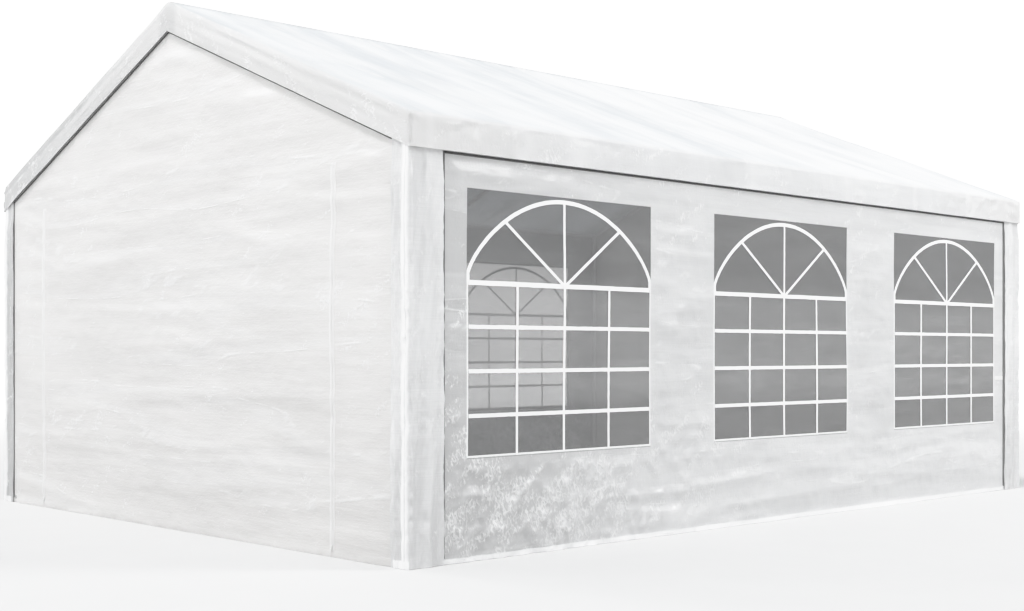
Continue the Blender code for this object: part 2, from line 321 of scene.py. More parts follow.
def tarpaulin(
    name,
    whiteness,
    warmth,
    streaks,
    flecks,
    rarity,
    hem=0.0,
    doubled=None,
    sheen=0.25,
    hanging_shade_level=0.0,
    lean=0.0,
):
    """Woven sheet.

    whiteness gives its dullest and its cleanest tone. streaks and flecks are how many of them
    there are to the metre, across and up. Flecks are common at a rarity of 0.56 and gone at 0.7.
    hem is the height of a long wall's doubled hem. Such a wall also gets painted shade towards its
    left end, and is lighter along the rest of its foot. doubled is where a sleeve bends and how
    far its doubled lap reaches across from there; the lap is whiter partly as a painted highlight
    along the bend. sheen is the weight of the clear coat. A cover's hanging edges, where it is
    crushed, take the hanging tone as painted shade of sheets that hang upright, its gable bands
    get painted shade towards the back, and a faint painted shade runs along the ridge, where the
    ridge tube's shadow would show through. lean turns the streaks.
    """
    finish = Finish(name)
    cut = finish.node("ShaderNodeUVMap", {"uv_map": CUT_MAP})
    across, up, _ = finish.split(cut)
    crushed = finish.node("ShaderNodeAttribute", {"attribute_name": CRUSHED}, output="Fac")

    region = finish.cloud(cut, 1.3, 2.0)
    streak = finish.drift(cut, streaks, 5.0, 0.62, lean)
    thread = finish.drift(cut, THREAD_SCALE, 2.0)
    tone = finish.mask(streak * 0.5 + region * 0.35 + thread * 0.15, 0.40, 0.60)
    color = finish.blend(tone, white(whiteness[0], warmth), white(whiteness[1], warmth))
    if hem:
        # Painted shade darkens the wall towards its left end, and the rest of its foot is lighter.
        end_shade = finish.fade(across, *END_SHADE)
        lighter_foot = finish.fade(up, *LIGHTER_FOOT) * (1.0 - end_shade)
        color = finish.blend(lighter_foot * 0.55, color, white(LIGHTER_FOOT_LEVEL))
        color = finish.blend(end_shade, color, white(END_SHADE_LEVEL))
    if hanging_shade_level:
        # Painted shade: the hanging edges stand upright, out of the top light, so they get a darker,
        # neutral tone.
        color = finish.blend(crushed, color, white(hanging_shade_level, 0.006))
        # Painted shade along the ridge, where the ridge tube's shadow would show through.
        ridge = finish.fade(up.size(), *RIDGE_SHADE)
        color = finish.blend(ridge * 0.5, color, white(SHADE_LEVEL))
        # Painted shade on the gable bands, growing towards the back.
        shaded_band = finish.mask(across.size(), *BAND_STARTS) * finish.mask(up, *BAND_SHADE_RAMP)
        color = finish.blend(shaded_band * 0.75, color, white(SHADE_LEVEL))

    # Flecks and crooked lines: whitened coating, and also painted highlight where crinkles would
    # glint.
    grain = finish.drift(cut, flecks, 4.0, 0.7)
    clump = finish.drift(cut, CLUMP_SCALE, 3.0, 0.6, CLUMP_LEAN)
    amount = grain * 0.52 + clump * 0.30 + region * 0.18 + crushed * 0.075
    fleck_and_glint = finish.mask(amount, rarity, rarity + 0.085)
    crooked = finish.contour(finish.drift(cut, LINE_SCALE, 2.0, lean=LINE_LEAN), 0.5, 0.075)
    amount = clump * 0.55 + region * 0.27 + grain * 0.18 + crushed * 0.11
    crooked = crooked * finish.mask(amount, rarity - 0.01, rarity + 0.06)
    fleck_and_glint = fleck_and_glint * 0.45 + crooked * 0.80
    color = finish.blend(fleck_and_glint, color, white(FLECK_AND_HIGHLIGHT_LEVEL))

    # Painted highlight along the crests of long soft folds.
    bent = finish.drift(cut, (streaks[0] * 0.45, streaks[1] * 0.42), 2.0)
    fold_line = finish.contour(bent, 0.5, 0.010) * finish.mask(clump, 0.46, 0.62)
    fold_highlight = finish.contour(bent, 0.53, 0.045)
    color = finish.blend(fold_line * 0.45 + fold_highlight * 0.22, color, white(FLECK_AND_HIGHLIGHT_LEVEL))

    twofold = None
    if hem:
        twofold = finish.fade(up + grain * 0.008, hem + 0.002, hem + 0.009)
    # On a sleeve the doubled lap is whiter partly because it lies double and partly as a painted
    # highlight along the bend.
    if doubled:
        bend, lap_end = doubled
        half = abs(lap_end - bend) / 2
        off_middle = (across - (bend + lap_end) / 2).size()
        twofold = finish.fade(off_middle, half - 0.012, half + 0.004)
    see_through = SEE_THROUGH
    if twofold:
        color = finish.blend(twofold, color, white(TWOFOLD_AND_HIGHLIGHT_LEVEL))
        see_through = SEE_THROUGH - twofold * (SEE_THROUGH - SEE_THROUGH_TWOFOLD)
    if doubled:
        stitched = bend + math.copysign(SEAM_FROM_BEND, lap_end - bend)
        seam = finish.fade((across - stitched).size(), 0.001, 0.0045)
        color = finish.blend(seam * 0.55, color, white(SEAM_LEVEL))

    tape = 2 * math.pi / WEAVE_PITCH
    relief = finish.bump((across * tape).wave() * (up * tape).wave(), 0.00012)
    for height, distance in (streak, 0.008), (fold_line, 0.0012), (crooked, 0.0012), (grain, 0.0022):
        relief = finish.bump(height, distance, relief)
    gloss = finish.surface({
        "Base Color": color,
        "Roughness": 0.55 - sheen * 0.6 - fleck_and_glint * 0.10,
        "IOR": 1.5,
        "Coat Weight": sheen,
        "Coat Roughness": 0.16,
        "Normal": relief,
    })
    through = finish.node("ShaderNodeBsdfTranslucent", values={"Color": color})
    shader = {0: see_through, 1: gloss, 2: through}
    return finish.done(finish.node("ShaderNodeMixShader", values=shader))


# The roof, long walls and gables are one tarpaulin in lit and shaded copies: the long walls are
# painted darker than the gables, as painted shade; the roof is painted brightest, its bluish tint is
# a painted sky reflection, and its wide range of tone partly paints the shade of its soft sags.
ROOF_FINISH = tarpaulin(
    "roof_tarpaulin",
    (0.75, 0.965),
    -0.028,
    (2.6, 0.35),
    (60, 45),
    0.640,
    sheen=0.06,
    hanging_shade_level=0.78,
)
LONG_WALL_FINISH = tarpaulin(
    "long_wall_tarpaulin", (0.76, 0.82), 0.0, (0.8, 7.0), (70, 36), 0.570, hem=0.024
)
GABLE_WALL_FINISH = tarpaulin(
    "gable_wall_tarpaulin", (0.82, 0.88), 0.012, (0.6, 6.0), (36, 60), 0.568
)

# %% [markdown]
# ## The smaller finishes
#
# The window film is soft clear vinyl. It hazes what lies behind it, so it is a grey surface of
# low alpha with a ripple. Across its middle rows it is painted lighter, in level streaks, as a
# painted reflection of the bright surround, and above and below them it is painted darker, as
# painted shade of the dim inside.
# Its glazing bars are printed in dense white. The zip tape is a cream twill. A dark cord and a
# grey one stand in the gaps between the sheets as painted shadow, and a grey line under each sill
# is painted shadow too. The frame is steel with a white powder coat, whose tiny orange-peel shows
# in its gloss.

# %% Film, print, tape, cord and steel
REFLECTION_BAND_STARTS = (0.64, 0.84)
REFLECTION_BAND_ENDS = (1.22, 1.40)
FINE_RELIEF = 0.0002


def clear_film():
    finish = Finish("window_film")
    place = finish.place()
    ripple = finish.drift(place, (2.4, 2.4, 6.0), 2.0)
    haze_and_reflection = finish.drift(place, (1.6, 1.6, 9.0), 4.0, 0.6)
    height = finish.split(place)[2]
    # Painted reflection across the middle rows, and painted shade of the dim inside above and below
    # them.
    reflection_band = finish.mask(height, *REFLECTION_BAND_STARTS) * finish.fade(height, *REFLECTION_BAND_ENDS)
    inside_shade_tone = finish.blend(haze_and_reflection, white(0.22), white(0.36))
    reflection_band_tone = finish.blend(haze_and_reflection, white(0.33), white(0.49))
    return finish.done(finish.surface({
        "Base Color": finish.blend(reflection_band, inside_shade_tone, reflection_band_tone),
        "Roughness": 0.10 + haze_and_reflection * 0.10,
        "IOR": 1.46,
        "Alpha": 0.36 + haze_and_reflection * 0.12,
        "Normal": finish.bump(ripple, 0.006),
    }))


def speckled(name, levels, gloss, metallic, *grains):
    """An even surface whose tone and gloss change with fine grains. gloss is its roughness
    where the grains are darkest, and how much it grows."""
    finish = Finish(name)
    grain = finish.cloud(finish.place(), *grains)
    return finish.done(finish.surface({
        "Base Color": finish.blend(grain, white(levels[0]), white(levels[1])),
        "Roughness": gloss[0] + grain * gloss[1],
        "Metallic": metallic,
        "Normal": finish.bump(grain, FINE_RELIEF),
    }))


def twill(name, level, warmth, pitch):
    """Narrow woven tape with slanting ribs."""
    finish = Finish(name)
    place = finish.place()
    right, back, up = finish.split(place)
    rib = ((right + back + up) * (2 * math.pi / pitch)).wave()
    wear = finish.cloud(place, 14.0, 4.0)
    return finish.done(finish.surface({
        "Base Color": finish.blend(wear, white(level, warmth), white(level * 0.96, warmth)),
        "Roughness": 0.62 + wear * 0.15,
        "Normal": finish.bump(rib, 0.0003),
    }))


def powder_steel():
    finish = Finish("white_powder_steel")
    place = finish.place()
    peel = finish.cloud(place, 420.0, 2.0)
    scuffs = finish.mask(finish.drift(place, (18, 18, 6), 6.0, 0.7), 0.56, 0.68)
    return finish.done(finish.surface({
        "Base Color": finish.blend(scuffs, white(0.78), white(0.62)),
        "Roughness": 0.30 + scuffs * 0.25,
        "Metallic": scuffs * 0.3,
        "Normal": finish.bump(peel, FINE_RELIEF),
    }))


FILM_FINISH = clear_film()
PRINT_FINISH = speckled("white_print", (0.88, 0.93), (0.36, 0.12), 0.0, 60.0)
ZINC_FINISH = speckled("zinc_plated_steel", (0.50, 0.68), (0.28, 0.20), 1.0, 90.0, 4.0, 0.6)
ZIP_TAPE_FINISH = twill("zip_tape", 0.92, 0.006, 0.0024)
# The cords and the sill line are dark things that stand for shadow: painted shadow.
SHADOW_CORD_FINISH = twill("dark_shadow_cord", 0.085, 0.0, 0.0030)
GREY_SHADOW_CORD_FINISH = twill("grey_shadow_cord", 0.22, 0.0, 0.0030)
SILL_SHADOW_FINISH = twill("sill_shadow_line", 0.42, 0.0, 0.0030)
STEEL_FINISH = powder_steel()

# %% [markdown]
# ## Four faces, one way of measuring
#
# The tent has four faces, and each is measured as it is seen from outside: `across` to the
# right from the middle, `up` from the ground, and `out` from the face's own plane. A sheet,
# zip or cord is laid out flat in those numbers, and `pinned` gives its point in the room.
# So one function makes the front and the back, and another the two gables.

# %% The faces and their planes
TURN = {
    "front": {"right": Vector((1, 0, 0)), "out": Vector((0, -1, 0))},
    "right": {"right": Vector((0, 1, 0)), "out": Vector((1, 0, 0))},
    "back": {"right": Vector((-1, 0, 0)), "out": Vector((0, 1, 0))},
    "left": {"right": Vector((0, -1, 0)), "out": Vector((-1, 0, 0))},
}
LONG_FACES = ("front", "back")
GABLE_FACES = ("left", "right")
WALL_NODE = {
    "front": "side_wall_front",
    "back": "side_wall_back",
    "left": "end_wall_left",
    "right": "end_wall_right",
}


def reach(node, direction):
    """How far a node's box reaches along a direction from the middle of the tent."""
    return max(corner.dot(direction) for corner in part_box(node))


WALL_OUT = {face: reach(WALL_NODE[face], TURN[face]["out"]) for face in TURN}
WALL_HALF = {face: reach(WALL_NODE[face], TURN[face]["right"]) for face in TURN}
ROOF_LOW, ROOF_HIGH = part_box("roof_cover")
WALL_LOW, WALL_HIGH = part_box("side_wall_front")
HALF_LENGTH = ROOF_HIGH.x
HALF_WIDTH = ROOF_HIGH.y
VALANCE_DEPTH = 0.165
VALANCE_FOOT = ROOF_LOW.z
EAVE_HEIGHT = VALANCE_FOOT + VALANCE_DEPTH
RIDGE_HEIGHT = ROOF_HIGH.z + 0.002
SLOPE = (RIDGE_HEIGHT - EAVE_HEIGHT) / HALF_WIDTH
SLOPE_LENGTH = math.hypot(HALF_WIDTH, RIDGE_HEIGHT - EAVE_HEIGHT)


def pinned(face, across, up, out):
    turn = TURN[face]
    return turn["right"] * across + turn["out"] * (WALL_OUT[face] + out) + Vector((0, 0, up))


def roof_height(across):
    """The outer height of the roof over a point of a gable."""
    return RIDGE_HEIGHT - SLOPE * abs(across)


print("wall planes:", {face: round(value, 4) for face, value in WALL_OUT.items()})
print("slope length", round(SLOPE_LENGTH, 3), "m, valance foot at", round(VALANCE_FOOT, 3), "m")

# %% [markdown]
# ## How the sheets crease
#
# A taut tarpaulin isn't flat. It swells softly between the posts, keeps long level creases from
# the way it was packed, and where nothing holds it tight it crumples into small sharp facets.
# A cloth simulation could find such folds, but on a wall that hangs still and taut it mostly
# gives back the flat sheet. So each vertex is pushed in or out by several layers of noise, and
# the absolute value of a noise makes the sharp valleys. Posts, sleeves and the valance limit
# how far the sheet may go.


# %% Swells, creases and crumples
def eased(value):
    """Smooth rise from 0 to 1 as value goes from 0 to 1."""
    value = min(max(value, 0.0), 1.0)
    return value * value * (3 - 2 * value)


def hump(off, wide):
    """A bell curve: 1 where off is 0, and 0.37 at wide."""
    return math.exp(-((off / wide) ** 2))


def swell_at(across, up, wide, tall, seed):
    """Soft noise from -1 to 1, whose patches are wide by tall metres."""
    return noise.noise(Vector((across / wide, up / tall, seed)))


def crease_at(across, up, wide, tall, seed):
    """Noise from 0 to about 1 with sharp valleys, which bend as they go."""
    drift = 0.35 * noise.noise(Vector((across / wide, up / tall, seed + 11.3)))
    first = abs(noise.noise(Vector((across / wide + drift, up / tall + drift, seed))))
    second = abs(noise.noise(Vector((across / wide * 2.3 - drift, up / tall * 2.3, seed + 5.1))))
    return first + 0.45 * second


def creased(across, up, seed, *layers):
    """Layers of creases. Each gives its height, how far of that the sheet stands out where it
    isn't creased, the width and height of its patches, and its step from the seed."""
    out = 0.0
    for high, rest, wide, tall, step in layers:
        out += high * (rest - crease_at(across, up, wide, tall, seed + step))
    return out


print("a crease sample:", round(crease_at(0.3, 0.7, 0.1, 0.1, 1.0), 3))

# %% [markdown]
# The long walls crumple most below the first window, by the near corner, where the sheet is
# slack above the ground. `front` and `back` share the rule with different seeds, and the same
# displacement also carries the window film, its bars and the shadow cords, so they never part.

# %% Displacement of the walls
SLEEVE_LONG = 0.220
SLEEVE_GABLE = 0.125
SEEDS = {"front": 3.7, "right": 21.9, "back": 47.3, "left": 68.1}
WALL_REST = 0.006
WALL_PLAY = 0.0095
SLACK_CORNER = {"across": -2.30, "up": 0.26, "wide": 1.15, "tall": 0.40}
LEVEL_CREASES = (0.0200, 0.30, 1.5, 0.17, 2), (0.0130, 0.30, 0.30, 0.24, 8)
CRUMPLES = (0.0480, 0.35, 0.13, 0.16, 4), (0.0220, 0.35, 0.05, 0.07, 6)
GABLE_CREASES = (0.0150, 0.30, 2.2, 0.24, 2), (0.0040, 0.30, 0.16, 0.12, 8)
SLANTING_CREASE = (0.0045, 0.30, 0.7, 0.12, 4)
FILM_LAP = 0.012
FILM_BOXES = [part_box(f"window_front_{number}") for number in (1, 2, 3)]
WINDOW_MIDDLES = [(low.x + high.x) / 2 for low, high in FILM_BOXES]
WINDOW_HALF = (FILM_BOXES[0][1].x - FILM_BOXES[0][0].x) / 2 - FILM_LAP
WINDOW_SILL = FILM_BOXES[0][0].z + FILM_LAP
WINDOW_HEAD = FILM_BOXES[0][1].z - FILM_LAP
WINDOW_EDGE = 0.08
HELD_EDGE = 0.10


def slackness(across, up):
    """1 in the slack lower corner of a long wall, falling to a low level elsewhere."""
    beside = hump(across - SLACK_CORNER["across"], SLACK_CORNER["wide"])
    return 0.10 + 0.90 * beside * hump(up - SLACK_CORNER["up"], SLACK_CORNER["tall"])


def window_calm(across, up):
    """0 over a window's film, which hangs smooth, and 1 over the tarpaulin round it."""
    nearest = min(abs(across - middle) for middle in WINDOW_MIDDLES)
    past = max(nearest - WINDOW_HALF, up - WINDOW_HEAD, WINDOW_SILL - up) - FILM_LAP
    return eased(past / WINDOW_EDGE)


def held_between(raw, hold):
    """A push kept between the posts and the open air. It is 0 where hold is 0."""
    return hold * (WALL_REST + WALL_PLAY * math.tanh(raw / WALL_PLAY))


def long_wall_out(face, across, up):
    """How far a long wall stands off its plane there."""
    seed = SEEDS[face]
    crumpled = slackness(across, up) * creased(across, up, seed, *CRUMPLES)
    out = 0.0080 * swell_at(across, up, 0.95, 0.75, seed)
    out += window_calm(across, up) * (creased(across, up, seed, *LEVEL_CREASES) + crumpled)
    beside_sleeve = eased((HALF_LENGTH - SLEEVE_LONG - 0.01 - abs(across)) / HELD_EDGE)
    below_valance = eased((VALANCE_FOOT - 0.02 - up) / HELD_EDGE)
    return held_between(out, min(beside_sleeve, below_valance))


def gable_wall_out(face, across, up):
    """How far a gable wall stands off its plane there."""
    seed = SEEDS[face]
    out = 0.0110 * swell_at(across, up, 1.3, 0.8, seed)
    out += creased(across, up, seed, *GABLE_CREASES)
    out += creased(across, up + 0.25 * across, seed, SLANTING_CREASE)
    beside_sleeve = eased((HALF_WIDTH - SLEEVE_GABLE - 0.01 - abs(across)) / HELD_EDGE)
    below_band = eased((roof_height(across) - VALANCE_DEPTH - 0.02 - up) / 0.12)
    return held_between(out, min(beside_sleeve, below_band))


def wall_out(face, across, up):
    return (long_wall_out if face in LONG_FACES else gable_wall_out)(face, across, up)


def on_wall(face, across, up, stand=0.0):
    """A point that stands so far off the creased wall."""
    return pinned(face, across, up, wall_out(face, across, up) + stand)


print("windows at", [round(x, 2) for x in WINDOW_MIDDLES], "half width", round(WINDOW_HALF, 4))
print("sill", round(WINDOW_SILL, 3), "head", round(WINDOW_HEAD, 3))

# %% [markdown]
# ## Cutting and hanging a sheet
#
# A sheet starts as a bmesh grid whose rows and columns are ruled so that every fold, hem and
# opening falls on one of them. `ruled` spaces the lines evenly between the marks, and finer
# where the cloth bends. While the cut is still flat it gets its UV map, in metres. Then it is
# hung: each vertex moves to its place. A Solidify modifier gives the thickness.

# %% The sheet maker's tools
SHEET_THICKNESS = 0.0012


def ruled(marks, cells):
    """Grid lines that keep every mark and lie about one cell apart between two marks."""
    lines = [marks[0]]
    for start, end, cell in zip(marks, marks[1:], cells):
        count = max(1, round((end - start) / cell))
        lines += [start + (end - start) * step / count for step in range(1, count + 1)]
    return lines


def cut_cloth(columns, rows):
    """A flat grid in X and Y whose lines lie at the given places."""
    cloth = bmesh.new()
    count = (len(columns) - 1, len(rows) - 1)
    bmesh.ops.create_grid(cloth, x_segments=count[0], y_segments=count[1], size=1.0)
    for vert in cloth.verts:
        column = round((vert.co.x + 1) / 2 * count[0])
        row = round((vert.co.y + 1) / 2 * count[1])
        vert.co = (columns[column], rows[row], 0.0)
    return cloth


def cut_out(cloth, left, right, low, high):
    """Removes the faces of a rectangle whose sides are ruled lines."""
    gone = []
    for face in cloth.faces:
        middle = face.calc_center_median()
        if left < middle.x < right and low < middle.y < high:
            gone.append(face)
    bmesh.ops.delete(cloth, geom=gone, context="FACES")


def map_cut(cloth):
    """Writes the flat places into the UV map, in metres."""
    layer = cloth.loops.layers.uv.new(CUT_MAP)
    for face in cloth.faces:
        for loop in face.loops:
            loop[layer].uv = loop.vert.co.xy


def mark_crushed(cloth, crushed_at):
    """Writes how much each place is crushed, from 0 to 1, while the cut is flat."""
    layer = cloth.verts.layers.float.new(CRUSHED)
    for vert in cloth.verts:
        vert[layer] = crushed_at(vert.co.x, vert.co.y)


def hang(cloth, place):
    """Moves each vertex from the flat cut to where place(across, up) says."""
    for vert in cloth.verts:
        vert.co = place(vert.co.x, vert.co.y)


def finished(cloth, name, finish, replaced=(), smooth=True):
    """Turns a bmesh into a piece that rides on the tent. Its open edges are kept sharp."""
    for edge in cloth.edges:
        edge.smooth = not edge.is_boundary
    mesh = bpy.data.meshes.new(name)
    cloth.to_mesh(mesh)
    cloth.free()
    if smooth:
        mesh.shade_smooth()
    mesh.materials.append(finish)
    piece = bpy.data.objects.new(name, mesh)
    bpy.context.scene.collection.objects.link(piece)
    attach(piece, "root")
    if replaced:
        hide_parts(*replaced)
    return piece


def thicken(piece, thickness=SHEET_THICKNESS):
    wall = piece.modifiers.new("thickness", "SOLIDIFY")
    wall.thickness = thickness
    wall.offset = -1.0
    wall.use_even_offset = False
    return piece


def hung_sheet(cloth, place, name, finish, node, crushed_at=None):
    """The last steps of a sheet: its map, its crushing, its hanging and its thickness."""
    map_cut(cloth)
    if crushed_at:
        mark_crushed(cloth, crushed_at)
    hang(cloth, place)
    sheet = thicken(finished(cloth, name, finish, [node]))
    print(f"{name}: {len(sheet.data.polygons)} faces on one side")
    return sheet


print("sheet thickness", SHEET_THICKNESS * 1000, "mm")

# %% [markdown]
# ## The roof cover
#
# The real cover is one sheet thrown over both slopes. Its edges hang down as a valance along
# the eaves and as a band along the gables, and they are sewn together at the corners. So the
# cut is one flat grid without its four corner squares. Folding it down at the eaves and at the
# gables brings the two sides of each missing square together, and merging them is the seam.
# Smoothing the vertices along the folds rounds them, as they bend over the tubes.

# %% Fold the roof cover
ROOF_EASE = 0.004
FOLD_ZONE = 0.045
RIDGE_ZONE = 0.090
FOLD_CELL = 0.0085
FOLD_ROUNDS = 11
SLOPE_CELL = 0.0285
HANG_CELL = 0.0195


def fold_marks(flat, hang_down):
    """Marks and cell sizes from the middle of the cut to its edge, mirrored about the middle."""
    half = [flat - 1.3 * FOLD_ZONE, flat, flat + FOLD_ZONE, flat + hang_down]
    cells = [FOLD_CELL, FOLD_CELL, HANG_CELL]
    marks = [-mark for mark in reversed(half)] + half
    return marks, list(reversed(cells)) + [SLOPE_CELL] + cells


roof_columns = ruled(*fold_marks(HALF_LENGTH, VALANCE_DEPTH))
slope_marks, slope_cells = fold_marks(SLOPE_LENGTH, VALANCE_DEPTH)
slope_marks[4:4] = [-RIDGE_ZONE, 0.0, RIDGE_ZONE]
slope_cells[3:4] = [SLOPE_CELL, RIDGE_ZONE / 6, RIDGE_ZONE / 6, SLOPE_CELL]
roof_rows = ruled(slope_marks, slope_cells)


def fold_roof(along, over):
    """A point of the flat cover, folded sharply over the frame."""
    down = max(abs(over) - SLOPE_LENGTH, 0.0)
    on_slope = min(abs(over), SLOPE_LENGTH) / SLOPE_LENGTH
    y = math.copysign(HALF_WIDTH * on_slope, over)
    band = max(abs(along) - HALF_LENGTH, 0.0)
    x = max(min(along, HALF_LENGTH), -HALF_LENGTH)
    return Vector((x, y, roof_height(y) - down - band))


def roof_crushed(along, over):
    """The valance and the gable bands are crushed, most of all near the tent's corners."""
    # The same value masks the painted shade of the hanging edges in the roof's finish.
    down = max(abs(over) - SLOPE_LENGTH, abs(along) - HALF_LENGTH)
    near_corner = hump(HALF_LENGTH - abs(along), 0.9)
    return eased((down + 0.03) / 0.05) * (0.75 + 0.25 * near_corner)


roof = cut_cloth(roof_columns, roof_rows)
for across_sign in (-1, 1):
    for over_sign in (-1, 1):
        near = (across_sign * HALF_LENGTH, across_sign * (HALF_LENGTH + VALANCE_DEPTH))
        side = (over_sign * SLOPE_LENGTH, over_sign * (SLOPE_LENGTH + VALANCE_DEPTH))
        cut_out(roof, min(near), max(near), min(side), max(side))
map_cut(roof)
mark_crushed(roof, roof_crushed)
flat_place = roof.verts.layers.float_vector.new("flat")
for roof_vert in roof.verts:
    roof_vert[flat_place] = roof_vert.co
hang(roof, fold_roof)
bmesh.ops.remove_doubles(roof, verts=roof.verts, dist=0.0005)
print("roof grid", len(roof_columns) - 1, "by", len(roof_rows) - 1, "cells")

# %% [markdown]
# The folds are rounded by averaging each vertex with its neighbours a few times. After that the
# cover is pushed along its normals: it sags a little between the frames, long folds run up the
# slope near the gables where the cover is pulled over its end frame, the gable band carries
# long soft ridges, and the valance is rumpled near the corners where its fullness gathers.

# %% Round the folds and crease the cover
TUBE_RADIUS = 0.019
FRAME_PLACES = [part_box(f"post_front_{number}") for number in (1, 2, 3, 4)]
FRAME_X = [(low.x + high.x) / 2 for low, high in FRAME_PLACES]
FRAME_X[0] = FRAME_PLACES[0][0].x + TUBE_RADIUS
FRAME_X[3] = FRAME_PLACES[3][1].x - TUBE_RADIUS
RIDGE_LIFT = 0.008
SAG = 0.016
LONG_FOLDS = (0.014, 0.30, 0.16, 1.3, 5.5)
SOFT_FOLDS = (0.024, 0.30, 0.42, 1.6, 9.5)
BAND_CREASES = (0.0060, 0.30, 0.50, 0.045, 2)
VALANCE_RUMPLES = (0.0260, 0.35, 0.13, 0.10, 3)
VALANCE_CREASES = (0.0060, 0.35, 0.60, 0.06, 4)
APEX_SMOOTH = 0.40
print("frames stand at", [round(x, 3) for x in FRAME_X])


def near_fold(flat):
    at_eave = abs(abs(flat.y) - SLOPE_LENGTH) < 0.75 * FOLD_ZONE
    at_gable = abs(abs(flat.x) - HALF_LENGTH) < 0.75 * FOLD_ZONE
    at_ridge = abs(flat.y) < 0.9 * RIDGE_ZONE
    return at_eave or at_gable or at_ridge


def hangs(flat):
    return abs(flat.x) > HALF_LENGTH + 0.001 or abs(flat.y) > SLOPE_LENGTH + 0.001


folded = [vert for vert in roof.verts if near_fold(vert[flat_place])]
lying = [vert for vert in folded if not hangs(vert[flat_place])]
hanging = [vert for vert in folded if hangs(vert[flat_place])]
for _ in range(FOLD_ROUNDS):
    for verts, up_too in (lying, True), (hanging, False):
        bmesh.ops.smooth_vert(
            roof, verts=verts, factor=0.5, use_axis_x=True, use_axis_y=True, use_axis_z=up_too
        )


def bay_sag(along):
    """0 over a frame and 1 halfway between two frames."""
    for low, high in zip(FRAME_X, FRAME_X[1:]):
        if low <= along <= high:
            return math.sin(math.pi * (along - low) / (high - low))
    return 0.0


def slope_out(along, over):
    held = math.sin(math.pi * min(abs(over) / SLOPE_LENGTH, 1.0))
    soft = creased(along + 0.18 * over, over, 0, SOFT_FOLDS)
    soft += 0.014 * swell_at(along, over, 0.7, 0.9, 2.5)
    pulled = hump(HALF_LENGTH - abs(along), 0.45) * creased(along, over, 0, LONG_FOLDS)
    off_rafter = 0.25 + 0.75 * bay_sag(along)
    out = held * (off_rafter * soft + pulled - SAG * bay_sag(along))
    return out + RIDGE_LIFT * hump(over, RIDGE_ZONE) + 0.4 * ROOF_EASE


def hanging_out(along, over):
    """The valance along the eaves and the band along the gables."""
    seed = 31.0 + math.copysign(3.0, along) + math.copysign(7.0, over)
    if abs(along) > HALF_LENGTH:
        down = abs(along) - HALF_LENGTH
        share = down / VALANCE_DEPTH
        at_ridge = 0.088 + 0.012 * swell_at(over, 0, 0.7, 1, seed)
        at_groove = 0.052 + 0.014 * swell_at(over, 1, 0.5, 1, seed)
        strength = 0.55 + 0.8 * swell_at(over, 2, 0.5, 1, seed)
        out = 0.0042 * strength * hump(down - at_ridge, 0.011)
        out -= 0.0030 * hump(down - at_groove, 0.012)
        out += creased(over, down, seed, BAND_CREASES)
        out *= 0.15 + 0.85 * eased(abs(over) / APEX_SMOOTH)
        out += 0.0050 * share * swell_at(over, down, 0.8, 0.1, seed + 1)
        lies_flat = eased((SLOPE_LENGTH - abs(over) - 0.05) / 0.18)
        return lies_flat * (max(out, -0.0035) + ROOF_EASE + 0.0015 * share)
    down = abs(over) - SLOPE_LENGTH
    share = down / VALANCE_DEPTH
    rumple = 0.25 + 0.75 * hump(HALF_LENGTH - abs(along), 0.9)
    out = 0.0060 * share * (0.4 + swell_at(along, down, 0.55, 0.3, seed))
    out += rumple * creased(along, down, seed, VALANCE_RUMPLES)
    out += creased(along, down, seed, VALANCE_CREASES)
    return 0.0025 + 0.0060 * math.tanh(out / 0.006) + ROOF_EASE + 0.0015 * share


roof.normal_update()
for roof_vert in roof.verts:
    place = roof_vert[flat_place]
    displace = hanging_out if hangs(place) else slope_out
    roof_vert.co += roof_vert.normal * displace(place.x, place.y)
roof.verts.layers.float_vector.remove(flat_place)
roof_sheet = thicken(finished(roof, "roof_tarpaulin", ROOF_FINISH, ["roof_cover"]))
print("roof_tarpaulin:", len(roof_sheet.data.polygons), "faces on one side")

# %% [markdown]
# ## The walls
#
# A long wall is one cut with three openings, and a gable wall is cut along the roof line with
# `bisect_plane`. The roll-up door is the part of the gable between two upright zips. It is its
# own piece, but it is hung by the same displacement as the wall round it, so the two lie flush.

# %% Hang the long walls
WALL_CELL = 0.0155
HEM_MARK = 0.028
HEM_CELL = 0.008
HEM_STEP = 0.0015
SHEET_FOOT = 0.001
CRUSHED_TIP = (-2.72, 0.14)
TIP_SIZE = 0.20
long_half = WALL_HALF["front"]
long_marks = [-long_half]
for window_middle in WINDOW_MIDDLES:
    long_marks += [window_middle - WINDOW_HALF, window_middle + WINDOW_HALF]
long_marks.append(long_half)
long_columns = ruled(long_marks, [WALL_CELL] * (len(long_marks) - 1))
long_row_marks = [SHEET_FOOT, HEM_MARK, WINDOW_SILL, WINDOW_HEAD, WALL_HIGH.z]
long_rows = ruled(long_row_marks, [HEM_CELL, WALL_CELL, WALL_CELL, WALL_CELL])


def hem_step(up):
    """The doubled hem along the foot of a wall stands out a little."""
    return HEM_STEP * eased((HEM_MARK + 0.002 - up) / 0.004)


def wall_place(face):
    return lambda across, up: on_wall(face, across, up, hem_step(up))


def wall_crushed(across, up):
    """The slack corner is crushed, most of all at its tip beside the sleeve."""
    at_tip = hump(across - CRUSHED_TIP[0], TIP_SIZE) * hump(up - CRUSHED_TIP[1], TIP_SIZE)
    return slackness(across, up) + 0.6 * at_tip


for face in LONG_FACES:
    wall = cut_cloth(long_columns, long_rows)
    for middle in WINDOW_MIDDLES:
        cut_out(wall, middle - WINDOW_HALF, middle + WINDOW_HALF, WINDOW_SILL, WINDOW_HEAD)
    name = f"wall_tarpaulin_{face}"
    place = wall_place(face)
    hung_sheet(wall, place, name, LONG_WALL_FINISH, WALL_NODE[face], wall_crushed)

